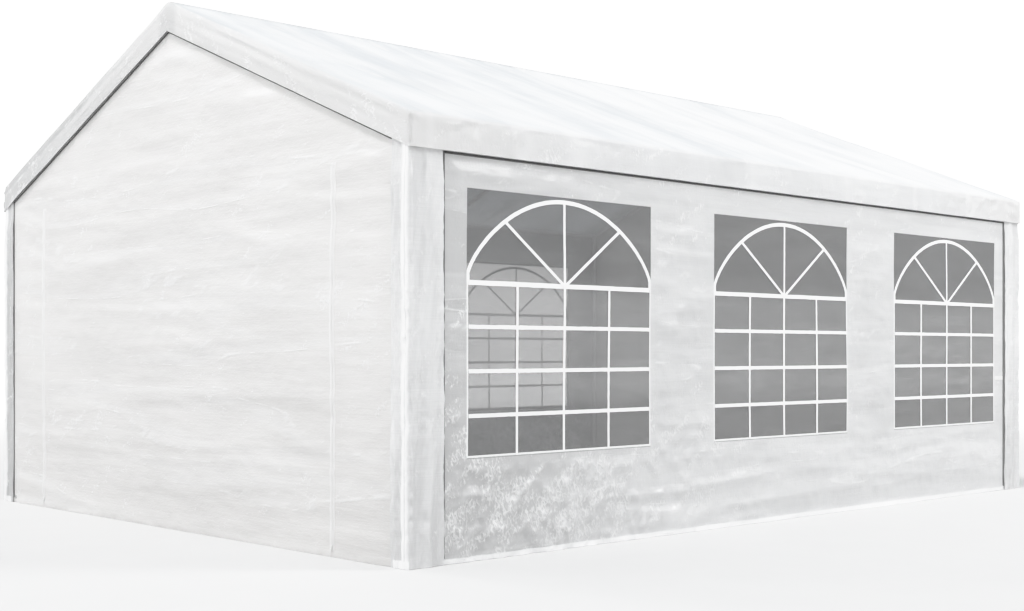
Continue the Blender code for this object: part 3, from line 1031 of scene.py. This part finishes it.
# %% Hang the gable walls and their doors
GABLE_CELL = 0.018
GABLE_DROP = 0.030
gable_half = WALL_HALF["left"]
DOOR_HALF, DOOR_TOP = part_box("door_flap_left")[1].yz
gable_columns = ruled([-gable_half, -DOOR_HALF, DOOR_HALF, gable_half], [GABLE_CELL] * 3)
gable_row_marks = [SHEET_FOOT, HEM_MARK, DOOR_TOP, RIDGE_HEIGHT]
gable_rows = ruled(gable_row_marks, [HEM_CELL, GABLE_CELL, GABLE_CELL])
door_columns = ruled([-DOOR_HALF, DOOR_HALF], [GABLE_CELL])
door_rows = ruled(gable_row_marks[:3], [HEM_CELL, GABLE_CELL])


def trim_to_roof(cloth):
    """Cuts away what stands above the two roof slopes."""
    for side_sign in (-1, 1):
        bmesh.ops.bisect_plane(
            cloth,
            geom=cloth.verts[:] + cloth.edges[:] + cloth.faces[:],
            dist=0.0001,
            plane_co=(0, RIDGE_HEIGHT - GABLE_DROP, 0),
            plane_no=(side_sign * SLOPE, 1, 0),
            clear_outer=True,
        )


for face in GABLE_FACES:
    wall = cut_cloth(gable_columns, gable_rows)
    trim_to_roof(wall)
    cut_out(wall, -DOOR_HALF, DOOR_HALF, 0.0, DOOR_TOP)
    place = wall_place(face)
    name = f"wall_tarpaulin_{face}"
    hung_sheet(wall, place, name, GABLE_WALL_FINISH, WALL_NODE[face])
    door = cut_cloth(door_columns, door_rows)
    name = f"door_tarpaulin_{face}"
    hung_sheet(door, place, name, GABLE_WALL_FINISH, f"door_flap_{face}")

# %% [markdown]
# ## The corner sleeves
#
# Each sleeve is a strip of tarpaulin from the ground to the eaves, wrapped round the corner
# over the edges of both walls. Its cut is a narrow tall grid, and the bend is an arc: the flat
# distance from the edge is turned into a place round the corner. The strip is only held at
# its top, so it is full of upright folds, sharpest along the bend.

# %% Wrap the sleeves
SLEEVE_EASE = 0.0018
SLEEVE_RADIUS = 0.010
SLEEVE_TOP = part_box("corner_sleeve_front_left")[1].z
NEXT_FACE = {"left": "front", "front": "right", "right": "back", "back": "left"}
SLEEVE_NODE = {
    "left": "corner_sleeve_front_left",
    "front": "corner_sleeve_front_right",
    "right": "corner_sleeve_back_right",
    "back": "corner_sleeve_back_left",
}
SLEEVE_OUT = {face: reach(SLEEVE_NODE[face], TURN[face]["out"]) for face in TURN}
BEND_LENGTH = math.pi / 2 * SLEEVE_RADIUS
SLEEVE_CREASES = (0.0130, 0.30, 0.050, 0.42, 0), (0.0110, 0.35, 0.035, 0.09, 3)
# Each fold's distance from the corner, its width and its height.
FOLDS = (
    (-0.103, 0.013, -0.004),
    (-0.084, 0.011, 0.005),
    (-0.062, 0.013, -0.005),
    (-0.026, 0.014, 0.006),
    (0.010, 0.014, 0.004),
    (0.056, 0.026, -0.009),
    (0.112, 0.028, 0.007),
    (0.170, 0.026, -0.002),
)


def sleeve_spans(face):
    """The flat lengths on this face and on the next one, from the bend to the strip's edges."""
    widths = (SLEEVE_LONG, SLEEVE_GABLE) if face in LONG_FACES else (SLEEVE_GABLE, SLEEVE_LONG)
    lap = HALF_LENGTH - SLEEVE_OUT["left"] + SLEEVE_RADIUS
    return [width - lap for width in widths]


def from_bend(face, width):
    """The middle of the bend, and the place so far from it on the gable side."""
    bend = sleeve_spans(face)[0] + BEND_LENGTH / 2
    return bend, bend + width * (-1 if face in GABLE_FACES else 1)


def sleeve_out(face, around, up):
    """Long upright folds that wander a little, with smaller crumples on them."""
    seed = SEEDS[face] + 100
    past = around - from_bend(face, 0)[0]
    from_corner = past if face in GABLE_FACES else -past
    out = 0.0
    for number, (at, wide, high) in enumerate(FOLDS):
        wander = 0.014 * swell_at(number, up, 1, 0.55, seed + 7)
        height = 1.7 * high * (0.8 + 0.9 * swell_at(number, up, 1, 0.7, seed + 9))
        out += height * hump(from_corner - at - wander, wide)
    slack = 0.35 + 0.65 * eased((SLEEVE_TOP - up) / 0.7)
    out += slack * creased(around, up, seed, *SLEEVE_CREASES)
    under_valance = eased((VALANCE_FOOT - 0.03 - up) / 0.10)
    low, high = -0.0045, 0.0010 + 0.014 * under_valance
    middle, half = (low + high) / 2, (high - low) / 2
    return middle + half * math.tanh((out - 0.001) / half)


def sleeve_place(face):
    turn, after = TURN[face], TURN[NEXT_FACE[face]]
    span = sleeve_spans(face)[0]
    center = turn["out"] * (SLEEVE_OUT[face] - SLEEVE_RADIUS)
    center += after["out"] * (SLEEVE_OUT[NEXT_FACE[face]] - SLEEVE_RADIUS)

    def place(around, up):
        angle = min(max((around - span) / SLEEVE_RADIUS, 0.0), math.pi / 2)
        facing = turn["out"] * math.cos(angle) + after["out"] * math.sin(angle)
        before = max(span - around, 0.0)
        beyond = max(around - span - BEND_LENGTH, 0.0)
        point = center + facing * (SLEEVE_RADIUS + SLEEVE_EASE + sleeve_out(face, around, up))
        return point - turn["right"] * before + after["right"] * beyond + Vector((0, 0, up))

    return place


# The doubled lap beside each bend is painted whiter, partly as a painted highlight along the bend.
LAP_WIDTH = 0.045
SLEEVE_LEAN = 9
SLEEVE_STREAKS = (9.0, 0.7)
SLEEVE_FLECKS = (70, 30)
SLEEVE_RARITY = 0.572
SLEEVE_WHITENESS = (0.79, 0.91)
# The back left sleeve is painted darker than the others, as painted shade.
SHADED_SLEEVE_WHITENESS = (0.66, 0.76)
SLEEVE_CRUSHED = 0.3
SLEEVE_CELLS = (0.0080, 0.0032, 0.0080)
SLEEVE_ROW = 0.0125
SLEEVES = {}
for face in NEXT_FACE:
    finish = tarpaulin(
        f"sleeve_tarpaulin_{face}",
        SHADED_SLEEVE_WHITENESS if face == "back" else SLEEVE_WHITENESS,
        0.0,
        SLEEVE_STREAKS,
        SLEEVE_FLECKS,
        SLEEVE_RARITY,
        doubled=from_bend(face, LAP_WIDTH),
        lean=SLEEVE_LEAN,
    )
    span, span_after = sleeve_spans(face)
    around_marks = [0.0, span, span + BEND_LENGTH, span + BEND_LENGTH + span_after]
    around_lines = ruled(around_marks, SLEEVE_CELLS)
    strip = cut_cloth(around_lines, ruled([SHEET_FOOT, SLEEVE_TOP], [SLEEVE_ROW]))
    node, place = SLEEVE_NODE[face], sleeve_place(face)
    name = node.replace("corner_sleeve", "sleeve_tarpaulin")
    SLEEVES[face] = hung_sheet(strip, place, name, finish, node, lambda *_: SLEEVE_CRUSHED)

# %% [markdown]
# A white patch is welded on the foot of each sleeve, on its gable side, where the peg strap
# rubs. It is a small grid that follows the sleeve's own folds.

# %% Weld the foot patches
PATCH_HEIGHT = 0.036
PATCH_WIDTH = 0.100
PATCH_LIFT = 0.0010
PATCH_COLUMN = 0.005
PATCH_ROW = 0.007
for face in NEXT_FACE:
    patch_columns = ruled(sorted(from_bend(face, PATCH_WIDTH)), [PATCH_COLUMN])
    patch = cut_cloth(patch_columns, ruled([SHEET_FOOT, PATCH_HEIGHT], [PATCH_ROW]))
    hang(patch, sleeve_place(face))
    patch.normal_update()
    for vert in patch.verts:
        vert.co += vert.normal * PATCH_LIFT
    name = SLEEVE_NODE[face].replace("corner_sleeve", "foot_patch")
    thicken(finished(patch, name, PRINT_FINISH), PATCH_LIFT)
print("foot patches", PATCH_WIDTH, "by", PATCH_HEIGHT, "m")

# %% [markdown]
# ## The windows
#
# Each window is a pane of clear film welded behind the opening. The arch and the bars are
# printed on it in white: a wide bar under the arch, three bars below it, two uprights and one
# in the middle, three rays in the arch, and a thin border along the sides and the sill. They
# are ribbons of one helper: a narrow grid bent along a path on the face. Each ribbon lies a
# hair higher than the last, because two surfaces in one plane would flicker.

# %% Film and printed bars
FILM_THICKNESS = 0.0008
FILM_GAP = 0.0003
FILM_CELL = 0.020
BAR_WIDTH = 0.0232
THIN_BAR_WIDTH = 0.0162
BORDER_WIDTH = 0.009
SILL_BORDER_RISE = 0.004
PRINT_THICKNESS = 0.0009
LAYER = 0.00015
ARCH_BASE = 1.316
ARCH_TOP = 1.737
ARCH_SPRING = 1.361
ARCH_SHARPNESS = 1.52
RAY_END = (0.432, 0.300)
BAR_HEIGHTS = (0.686, 0.897, 1.107)
SILL_SHADOW_WIDTH = 0.0028
SILL_SHADOW_DROP = 0.0045
SILL_SHADOW_LIFT = 0.0002
SILL_SHADOW_THICKNESS = 0.0003


def ribbon(cloth, path, width, steps, lift):
    """Adds a flat ribbon along path(share), which gives across and up as the share goes 0 to 1."""
    made = bmesh.ops.create_grid(cloth, x_segments=steps, y_segments=1, size=1.0)
    for vert in made["verts"]:
        share = (vert.co.x + 1) / 2
        here = Vector(path(share))
        ahead = Vector(path(min(share + 0.001, 1.0)))
        behind = Vector(path(max(share - 0.001, 0.0)))
        along = (ahead - behind).normalized()
        side = Vector((-along.y, along.x))
        uneven = 1 + 0.14 * noise.noise(Vector((here.x * 60, here.y * 60, vert.co.y)))
        spot = here + side * (vert.co.y * uneven * width / 2)
        vert.co = (spot.x, spot.y, lift)


def line(start, end):
    """A straight path between two points."""
    return lambda share: [a + (b - a) * share for a, b in zip(start, end)]


def level(half, up):
    return line((-half, up), (half, up))


def upright(across, low, high):
    return line((across, low), (across, high))


def arch(half, rise, base):
    """An arch with a round top and straighter shoulders, from its left spring to its right."""

    def path(share):
        angle = math.pi * (1 - share)
        return [math.cos(angle) * half, base + abs(math.sin(angle)) ** ARCH_SHARPNESS * rise]

    return path


def window_print(cloth):
    """The whole printed pattern, flat, round the middle of one window."""
    half = WINDOW_HALF - BAR_WIDTH / 2
    arch_half = WINDOW_HALF - 0.4 * BAR_WIDTH
    edge = WINDOW_HALF - BORDER_WIDTH / 2
    ribbons = [
        (level(half, ARCH_BASE), BAR_WIDTH, 30),
        (arch(arch_half, ARCH_TOP - ARCH_SPRING, ARCH_SPRING), BAR_WIDTH * 0.90, 96),
        (upright(-arch_half, ARCH_BASE, ARCH_SPRING), BAR_WIDTH * 0.8, 2),
        (upright(arch_half, ARCH_BASE, ARCH_SPRING), BAR_WIDTH * 0.8, 2),
        (upright(-edge, WINDOW_SILL, ARCH_BASE), BORDER_WIDTH, 20),
        (upright(edge, WINDOW_SILL, ARCH_BASE), BORDER_WIDTH, 20),
        (level(edge, WINDOW_SILL + SILL_BORDER_RISE), BORDER_WIDTH, 30),
        (upright(0, WINDOW_SILL, ARCH_TOP), THIN_BAR_WIDTH, 60),
    ]
    ribbons += [(level(half, height), BAR_WIDTH * 0.85, 60) for height in BAR_HEIGHTS]
    for side_sign in (-1, 1):
        quarter = side_sign * WINDOW_HALF / 2
        ribbons.append((upright(quarter, WINDOW_SILL, ARCH_BASE), THIN_BAR_WIDTH, 40))
        ray_end = (side_sign * RAY_END[0], ARCH_BASE + RAY_END[1])
        ribbons.append((line((0, ARCH_BASE), ray_end), THIN_BAR_WIDTH, 14))
    for layer, (path, width, steps) in enumerate(ribbons):
        ribbon(cloth, path, width, steps, layer * LAYER)


def settle(cloth, face, middle=0.0, stand=0.0):
    """Moves flat places (across from the middle, up, out) onto the creased wall."""
    for vert in cloth.verts:
        across, up, out = vert.co
        vert.co = on_wall(face, middle + across, up, stand + out)


def hang_window(face, number, middle):
    window_name = f"{face}_{number if face == 'front' else 4 - number}"
    half = WINDOW_HALF + FILM_LAP
    columns = ruled([middle - half, middle + half], [FILM_CELL])
    film = cut_cloth(columns, ruled([WINDOW_SILL - FILM_LAP, WINDOW_HEAD + FILM_LAP], [FILM_CELL]))
    map_cut(film)
    setback = -SHEET_THICKNESS - FILM_GAP
    settle(film, face, stand=setback)
    node = f"window_{window_name}"
    pane = finished(film, f"film_{window_name}", FILM_FINISH, [node])
    thicken(pane, FILM_THICKNESS)
    pattern = bmesh.new()
    window_print(pattern)
    settle(pattern, face, middle, setback + PRINT_THICKNESS)
    bars = finished(pattern, f"printed_bars_{window_name}", PRINT_FINISH)
    thicken(bars, PRINT_THICKNESS)
    # A grey line just under the sill is painted shadow, where the tarpaulin's edge overhangs the
    # film.
    sill_shadow = bmesh.new()
    height = WINDOW_SILL - SILL_SHADOW_DROP
    sill_shadow_path = line((middle - WINDOW_HALF, height), (middle + WINDOW_HALF, height))
    ribbon(sill_shadow, sill_shadow_path, SILL_SHADOW_WIDTH, 90, SILL_SHADOW_LIFT)
    settle(sill_shadow, face)
    thicken(finished(sill_shadow, f"weld_{window_name}", SILL_SHADOW_FINISH), SILL_SHADOW_THICKNESS)
    return pane, bars


for face in LONG_FACES:
    for number, middle in enumerate(WINDOW_MIDDLES, 1):
        hang_window(face, number, middle)

# %% [markdown]
# ## Shadow cords
#
# A dark cord lies in the gap under the valance, along the top of each long wall, and along both
# slopes of each gable, as painted shadow in those gaps. A paler one, a lighter painted shadow,
# follows the upright edges of the sleeves, on both sides of a long wall and on the left side of
# a gable. Each is a round tube: a circle, extruded step by step along its path on the face.

# %% Lay the shadow cords
CORD_RADIUS = 0.0052
SLOPE_CORD_RADIUS = 0.0040
PALE_CORD_RADIUS = 0.0036
CORD_STEP = 0.06
CORD_GAP = 0.0006
CORD_FOOT = 0.03
CORD_TOP_GAP = 0.002


def lay_cord(name, face, start, end, radius, stand, finish):
    """A round cord on a face. stand is its middle's distance from the sheet, in radii."""
    path = line(start, end)
    count = max(2, round(math.dist(start, end) / CORD_STEP))
    places = [on_wall(face, *path(step / count), stand * radius) for step in range(count + 1)]
    cord = bmesh.new()
    ring = bmesh.ops.create_circle(cord, cap_ends=True, radius=radius, segments=8)["verts"]
    turn = (places[-1] - places[0]).normalized().to_track_quat("Z", "Y").to_matrix()
    bmesh.ops.rotate(cord, verts=ring, cent=(0, 0, 0), matrix=turn)
    bmesh.ops.translate(cord, verts=ring, vec=places[0])
    cap = [cord.faces[:][0]]
    for before, after in zip(places, places[1:]):
        grown = bmesh.ops.extrude_face_region(cord, geom=cap)["geom"]
        moved = [item for item in grown if isinstance(item, bmesh.types.BMVert)]
        bmesh.ops.translate(cord, verts=moved, vec=after - before)
        old = cap
        cap = [item for item in grown if isinstance(item, bmesh.types.BMFace)]
        if before is not places[0]:
            bmesh.ops.delete(cord, geom=old, context="FACES_ONLY")
    bmesh.ops.recalc_face_normals(cord, faces=cord.faces)
    finished(cord, name, finish)


for face in LONG_FACES:
    edge = HALF_LENGTH - SLEEVE_LONG - 2.6 * PALE_CORD_RADIUS
    top = VALANCE_FOOT - CORD_RADIUS - CORD_GAP
    name = f"shadow_cord_{face}_top"
    lay_cord(name, face, (-edge, top), (edge, top), CORD_RADIUS, 0.8, SHADOW_CORD_FINISH)
    for run, side in ("a", -edge), ("b", edge):
        start, end = (side, CORD_FOOT), (side, VALANCE_FOOT - CORD_TOP_GAP)
        name = f"shadow_cord_{face}_side_{run}"
        lay_cord(name, face, start, end, PALE_CORD_RADIUS, 0.6, GREY_SHADOW_CORD_FINISH)
for face in GABLE_FACES:
    edge = HALF_WIDTH - SLEEVE_GABLE - PALE_CORD_RADIUS
    drop = VALANCE_DEPTH + SLOPE_CORD_RADIUS * math.hypot(1, SLOPE) + CORD_GAP
    eave, peak = roof_height(edge) - drop, roof_height(0) - drop
    for run, start, end in ("a", (-edge, eave), (0, peak)), ("b", (0, peak), (edge, eave)):
        name = f"shadow_cord_{face}_slope_{run}"
        lay_cord(name, face, start, end, SLOPE_CORD_RADIUS, 0.8, SHADOW_CORD_FINISH)
    top = roof_height(edge) - VALANCE_DEPTH - CORD_TOP_GAP
    name = f"shadow_cord_{face}_side_a"
    start, end = (-edge, CORD_FOOT), (-edge, top)
    lay_cord(name, face, start, end, PALE_CORD_RADIUS, 0.6, GREY_SHADOW_CORD_FINISH)
print("shadow cords laid round", len(TURN), "faces")

# %% [markdown]
# ## Zips
#
# Two zips run up each gable, one at each side of the roll-up door. A zip is a cream tape on
# each side, two rows of nylon teeth that mesh, and a slider with its pull. The tapes are
# ribbons on the wall. One tooth is a small block, and the rows are copies of it. The slider
# and its pull are two blocks with rounded edges.

# %% Sew in the zips
TAPE_WIDTH = 0.017
TAPE_GAP = 0.0015
TAPE_THICKNESS = 0.0008
TAPE_LIFT = 0.0002
ZIP_FOOT = 0.030
TOOTH_PITCH = 0.0052
TOOTH_SIZE = (0.0052, 0.0030, 0.0022)
TOOTH_ASIDE = 0.0012
TOOTH_OUT = 0.0018
# The slider and its pull: size, height over the zip's foot, distance out and rounding.
SLIDER_BLOCKS = (
    ((0.011, 0.016, 0.005), 0.020, 0.0042, 0.0012),
    ((0.006, 0.030, 0.0015), 0.004, 0.0080, 0.0005),
)


def add_block(cloth, size, center, bevel=0.0):
    """A block in flat face coordinates, with its edges rounded if asked."""
    made = bmesh.ops.create_cube(cloth, size=1.0)["verts"]
    bmesh.ops.scale(cloth, verts=made, vec=size)
    bmesh.ops.translate(cloth, verts=made, vec=center)
    if bevel:
        edges = list({edge for vert in made for edge in vert.link_edges})
        bmesh.ops.bevel(
            cloth, geom=edges, offset=bevel, affect="EDGES", segments=2, profile=0.5, material=-1
        )


def sew_zip(face, label, across):
    tape = bmesh.new()
    for side_sign in (-1, 1):
        path = upright(across + side_sign * (TAPE_GAP + TAPE_WIDTH) / 2, ZIP_FOOT, DOOR_TOP)
        ribbon(tape, path, TAPE_WIDTH, 110, TAPE_THICKNESS + TAPE_LIFT)
    settle(tape, face)
    thicken(finished(tape, f"zip_tape_{face}_{label}", ZIP_TAPE_FINISH), TAPE_THICKNESS)
    teeth = bmesh.new()
    for step in range(int((DOOR_TOP - ZIP_FOOT) / TOOTH_PITCH)):
        side_sign = 1 if step % 2 else -1
        height = ZIP_FOOT + (step + 0.5) * TOOTH_PITCH
        add_block(teeth, TOOTH_SIZE, (across + side_sign * TOOTH_ASIDE, height, TOOTH_OUT))
    settle(teeth, face)
    finished(teeth, f"zip_teeth_{face}_{label}", ZIP_TAPE_FINISH, smooth=False)
    slider = bmesh.new()
    for size, height, out, bevel in SLIDER_BLOCKS:
        add_block(slider, size, (across, ZIP_FOOT + height, out), bevel)
    settle(slider, face)
    finished(slider, f"zip_slider_{face}_{label}", ZIP_TAPE_FINISH, smooth=False)


for face in GABLE_FACES:
    sew_zip(face, "a", -DOOR_HALF)
    sew_zip(face, "b", DOOR_HALF)
print("each zip is", round(DOOR_TOP - ZIP_FOOT, 2), "m long")

# %% [markdown]
# ## Ties and eyelets
#
# A level strap of white webbing is sewn on each long wall between its last window and the far
# sleeve, and a pressed steel eyelet sits in the lower left corner of each gable. The eyelet is
# a small circle spun into a ring.

# %% Sew on the ties and press in the eyelets
TIE_PLACE = (2.705, 0.803)
TIE_SIZE = (0.122, 0.026)
TIE_CELL = 0.003
TIE_RISE = 0.006
EYELET_RADIUS = 0.009
EYELET_TUBE = 0.0026
EYELET_FOOT = 0.034
EYELET_INSET = 0.030


def sew_tie(face):
    """A strap whose middle stands off the wall, so that a cord can pass behind it."""
    half, half_up = TIE_SIZE[0] / 2, TIE_SIZE[1] / 2
    strap = cut_cloth(ruled([-half, half], [TIE_CELL]), ruled([-half_up, half_up], [TIE_CELL]))
    for vert in strap.verts:
        rise = TIE_RISE * (1 - (vert.co.x / half) ** 2) + SHEET_THICKNESS
        vert.co = (TIE_PLACE[0] + vert.co.x, TIE_PLACE[1] + vert.co.y, rise)
    settle(strap, face)
    thicken(finished(strap, f"tie_{face}", ZIP_TAPE_FINISH))


def press_eyelet(face, across):
    ring = bmesh.new()
    circle = bmesh.ops.create_circle(ring, radius=EYELET_TUBE, segments=10)["verts"]
    bmesh.ops.translate(ring, verts=circle, vec=(EYELET_RADIUS, 0, 0))
    bmesh.ops.spin(
        ring,
        geom=ring.verts[:] + ring.edges[:],
        cent=(0, 0, 0),
        axis=(0, 1, 0),
        angle=2 * math.pi,
        steps=28,
        use_merge=True,
    )
    turn = TURN[face]["out"].to_track_quat("Y", "Z").to_matrix()
    bmesh.ops.rotate(ring, verts=ring.verts, cent=(0, 0, 0), matrix=turn)
    spot = on_wall(face, across, EYELET_FOOT, hem_step(0))
    bmesh.ops.translate(ring, verts=ring.verts, vec=spot)
    bmesh.ops.recalc_face_normals(ring, faces=ring.faces)
    finished(ring, f"eyelet_{face}", ZINC_FINISH)


for face in LONG_FACES:
    sew_tie(face)
for face in GABLE_FACES:
    press_eyelet(face, SLEEVE_GABLE + EYELET_INSET - HALF_WIDTH)
print("ties at", TIE_PLACE, "eyelets", EYELET_INSET, "m from the sleeves")

# %% [markdown]
# ## The frame's finish
#
# The tubes, posts and fittings keep their own shapes. They only need the powder coat.

# %% Paint the frame
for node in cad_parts.values():
    if node.hide_render:
        continue
    node.data.materials.clear()
    node.data.materials.append(STEEL_FINISH)
print("painted:", sum(not node.hide_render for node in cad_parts.values()), "nodes")

# %% [markdown]
# ## The floor
#
# A plain pale disc, far larger than the tent, catches its soft shadow and throws light back up
# on the walls, as pale ground does. It whitens and glows with the distance, as a lit backdrop
# does, so no horizon line shows.

# %% Lay the floor
FLOOR_RADIUS = 60.0
NEAR_FLOOR = 6.0
FAR_FLOOR = 18.0
FAR_GLOW = 0.8


def pale_floor():
    finish = Finish("pale_floor")
    place = finish.place()
    grain = finish.cloud(place, 3.0, 2.0)
    distance = finish.node("ShaderNodeVectorMath", {"operation": "LENGTH"}, {0: place}, output=1)
    far = finish.mask(distance, NEAR_FLOOR, FAR_FLOOR)
    near_color = finish.blend(grain, white(0.61), white(0.63))
    return finish.done(finish.surface({
        "Base Color": finish.blend(far, near_color, white(0.97)),
        "Roughness": 0.85,
        "Emission Color": finish.blend(far, white(0.0), white(FAR_GLOW)),
        "Emission Strength": 1.0,
    }))


ground = bmesh.new()
bmesh.ops.create_circle(ground, cap_ends=True, radius=FLOOR_RADIUS, segments=96)
floor_mesh = bpy.data.meshes.new("floor")
ground.to_mesh(floor_mesh)
ground.free()
floor_mesh.materials.append(pale_floor())
floor = bpy.data.objects.new("floor", floor_mesh)
bpy.context.scene.collection.objects.link(floor)
print("floor radius", FLOOR_RADIUS, "m")

# %% [markdown]
# ## The sheets' flat sizes
#
# The flat areas of the walls and the sleeves' widths are worked out from the sizes they were cut to.

# %% Work out the flat sizes
long_flat = (2 * long_half, WALL_HIGH.z - WALL_LOW.z)
window_area = 2 * WINDOW_HALF * (WINDOW_HEAD - WINDOW_SILL)
long_area = long_flat[0] * long_flat[1] - 3 * window_area
gable_peak = RIDGE_HEIGHT - GABLE_DROP
gable_side = gable_peak - SLOPE * gable_half
gable_area = 2 * gable_half * (gable_peak + gable_side) / 2 - 2 * DOOR_HALF * DOOR_TOP
for face in GABLE_FACES:
    2 * gable_half
for sleeve in SLEEVES.values():
    sleeve_width = sum(sleeve_spans("left")) + BEND_LENGTH
